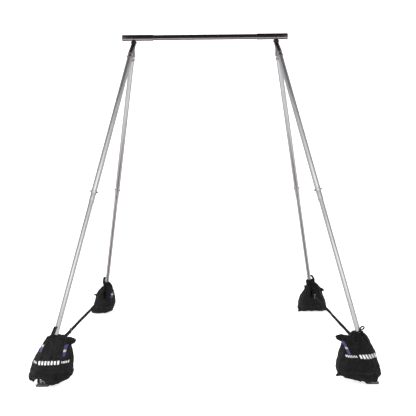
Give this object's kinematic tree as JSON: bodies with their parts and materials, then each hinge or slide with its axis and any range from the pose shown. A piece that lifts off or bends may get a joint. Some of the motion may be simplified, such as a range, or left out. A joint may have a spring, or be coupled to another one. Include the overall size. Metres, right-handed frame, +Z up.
{
  "type": "aerial rig",
  "caption": "Free-standing A-frame aerial rig: crossbar on four splayed telescopic legs with swivel feet, saddle sandbags and webbing tie straps.",
  "frame": {"origin": "on the floor, under the middle of the crossbar", "axes": "+X along the crossbar to the right-hand legs, -Y towards the front pair of feet, +Z up"},
  "size_m": [2.87, 2.7882, 3.037],
  "materials": {
    "black_gloss": "gloss black powder coat on steel",
    "aluminium": "satin anodised tube with faint drawing lines",
    "dark_steel": "blackened steel fasteners",
    "zinc": "zinc-plated steel",
    "rubber": "matt black rubber",
    "nylon": "matt black woven nylon",
    "webbing": "black ribbed webbing"
  },
  "bodies": {
    "crossbar": {"crossbar": "black_gloss", "head_left": "black_gloss", "end_cap_left": "rubber", "hinge_bolt_left": "dark_steel", "hinge_nut_left": "dark_steel", "head_right": "black_gloss", "end_cap_right": "rubber", "hinge_bolt_right": "dark_steel", "hinge_nut_right": "dark_steel"},
    "front_left_upper_leg": {"front_left_socket": "black_gloss", "front_left_collar": "black_gloss", "front_left_upper_tube": "aluminium", "front_left_clamp": "dark_steel", "front_left_adjuster": "aluminium"},
    "front_left_lower_leg": {"front_left_lower_tube": "aluminium", "front_left_foot_tongue": "zinc", "front_left_sandbag": "nylon"},
    "front_left_foot": {"front_left_foot_shoe": "zinc", "front_left_foot_sole": "rubber", "front_left_foot_knob": "rubber"},
    "front_left_tie": {"front_left_strap": "webbing", "buckle_left_front": "zinc", "buckle_left_middle": "zinc"},
    "front_right_upper_leg": {"front_right_socket": "black_gloss", "front_right_collar": "black_gloss", "front_right_upper_tube": "aluminium", "front_right_clamp": "dark_steel", "front_right_adjuster": "aluminium"},
    "front_right_lower_leg": {"front_right_lower_tube": "aluminium", "front_right_foot_tongue": "zinc", "front_right_sandbag": "nylon"},
    "front_right_foot": {"front_right_foot_shoe": "zinc", "front_right_foot_sole": "rubber", "front_right_foot_knob": "rubber"},
    "front_right_tie": {"front_right_strap": "webbing"},
    "rear_left_upper_leg": {"rear_left_socket": "black_gloss", "rear_left_collar": "black_gloss", "rear_left_upper_tube": "aluminium", "rear_left_clamp": "dark_steel", "rear_left_adjuster": "aluminium"},
    "rear_left_lower_leg": {"rear_left_lower_tube": "aluminium", "rear_left_foot_tongue": "zinc", "rear_left_sandbag": "nylon"},
    "rear_left_foot": {"rear_left_foot_shoe": "zinc", "rear_left_foot_sole": "rubber", "rear_left_foot_knob": "rubber"},
    "rear_left_tie": {"rear_left_strap": "webbing"},
    "rear_right_upper_leg": {"rear_right_socket": "black_gloss", "rear_right_collar": "black_gloss", "rear_right_upper_tube": "aluminium", "rear_right_clamp": "dark_steel", "rear_right_adjuster": "aluminium"},
    "rear_right_lower_leg": {"rear_right_lower_tube": "aluminium", "rear_right_foot_tongue": "zinc", "rear_right_sandbag": "nylon"},
    "rear_right_foot": {"rear_right_foot_shoe": "zinc", "rear_right_foot_sole": "rubber", "rear_right_foot_knob": "rubber"},
    "rear_right_tie": {"rear_right_strap": "webbing", "buckle_right_rear": "zinc"}
  },
  "joints": [
    {"name": "front_left_fold", "type": "hinge", "parent": "crossbar", "child": "front_left_upper_leg", "pos_m": [-0.701, 0, 2.9615], "axis": [1, 0, 0], "range_deg": [0, 6]},
    {"name": "front_left_height", "type": "slide", "parent": "front_left_upper_leg", "child": "front_left_lower_leg", "axis": [0.1794, 0.3993, 0.8991], "range_m": [0, 0.45]},
    {"name": "front_left_foot_swivel", "type": "hinge", "parent": "front_left_lower_leg", "child": "front_left_foot", "pos_m": [-1.285, -1.3, 0.034], "axis": [1, 0, 0], "range_deg": [-15, 15]},
    {"name": "front_left_tie_swing", "type": "hinge", "parent": "front_left_lower_leg", "child": "front_left_tie", "pos_m": [-1.24311, -1.20675, 0.244], "axis": [1, 0, 0], "range_deg": [-6, 0], "deforming": ["front_left_strap"]},
    {"name": "front_right_fold", "type": "hinge", "parent": "crossbar", "child": "front_right_upper_leg", "pos_m": [0.701, 0, 2.9615], "axis": [1, 0, 0], "range_deg": [0, 6]},
    {"name": "front_right_height", "type": "slide", "parent": "front_right_upper_leg", "child": "front_right_lower_leg", "axis": [-0.1794, 0.3993, 0.8991], "range_m": [0, 0.45]},
    {"name": "front_right_foot_swivel", "type": "hinge", "parent": "front_right_lower_leg", "child": "front_right_foot", "pos_m": [1.285, -1.3, 0.034], "axis": [1, 0, 0], "range_deg": [-15, 15]},
    {"name": "front_right_tie_swing", "type": "hinge", "parent": "front_right_lower_leg", "child": "front_right_tie", "pos_m": [1.24311, -1.20675, 0.244], "axis": [1, 0, 0], "range_deg": [-6, 0], "deforming": ["front_right_strap"]},
    {"name": "rear_left_fold", "type": "hinge", "parent": "crossbar", "child": "rear_left_upper_leg", "pos_m": [-0.701, 0, 2.9615], "axis": [1, 0, 0], "range_deg": [-6, 0]},
    {"name": "rear_left_height", "type": "slide", "parent": "rear_left_upper_leg", "child": "rear_left_lower_leg", "axis": [0.1794, -0.3993, 0.8991], "range_m": [0, 0.45]},
    {"name": "rear_left_foot_swivel", "type": "hinge", "parent": "rear_left_lower_leg", "child": "rear_left_foot", "pos_m": [-1.285, 1.3, 0.034], "axis": [1, 0, 0], "range_deg": [-15, 15]},
    {"name": "rear_left_tie_swing", "type": "hinge", "parent": "rear_left_lower_leg", "child": "rear_left_tie", "pos_m": [-1.24311, 1.20675, 0.244], "axis": [1, 0, 0], "range_deg": [0, 6], "deforming": ["rear_left_strap"]},
    {"name": "rear_right_fold", "type": "hinge", "parent": "crossbar", "child": "rear_right_upper_leg", "pos_m": [0.701, 0, 2.9615], "axis": [1, 0, 0], "range_deg": [-6, 0]},
    {"name": "rear_right_height", "type": "slide", "parent": "rear_right_upper_leg", "child": "rear_right_lower_leg", "axis": [-0.1794, -0.3993, 0.8991], "range_m": [0, 0.45]},
    {"name": "rear_right_foot_swivel", "type": "hinge", "parent": "rear_right_lower_leg", "child": "rear_right_foot", "pos_m": [1.285, 1.3, 0.034], "axis": [1, 0, 0], "range_deg": [-15, 15]},
    {"name": "rear_right_tie_swing", "type": "hinge", "parent": "rear_right_lower_leg", "child": "rear_right_tie", "pos_m": [1.24311, 1.20675, 0.244], "axis": [1, 0, 0], "range_deg": [0, 6], "deforming": ["rear_right_strap"]}
  ],
  "couplings": [
    {"joint": "rear_left_fold", "follows": "front_left_fold", "ratio": -1},
    {"joint": "front_left_tie_swing", "follows": "front_left_fold", "ratio": -1},
    {"joint": "rear_left_tie_swing", "follows": "front_left_fold", "ratio": 1},
    {"joint": "rear_left_height", "follows": "front_left_height", "ratio": 1},
    {"joint": "rear_right_fold", "follows": "front_right_fold", "ratio": -1},
    {"joint": "front_right_tie_swing", "follows": "front_right_fold", "ratio": -1},
    {"joint": "rear_right_tie_swing", "follows": "front_right_fold", "ratio": 1},
    {"joint": "rear_right_height", "follows": "front_right_height", "ratio": 1}
  ]
}
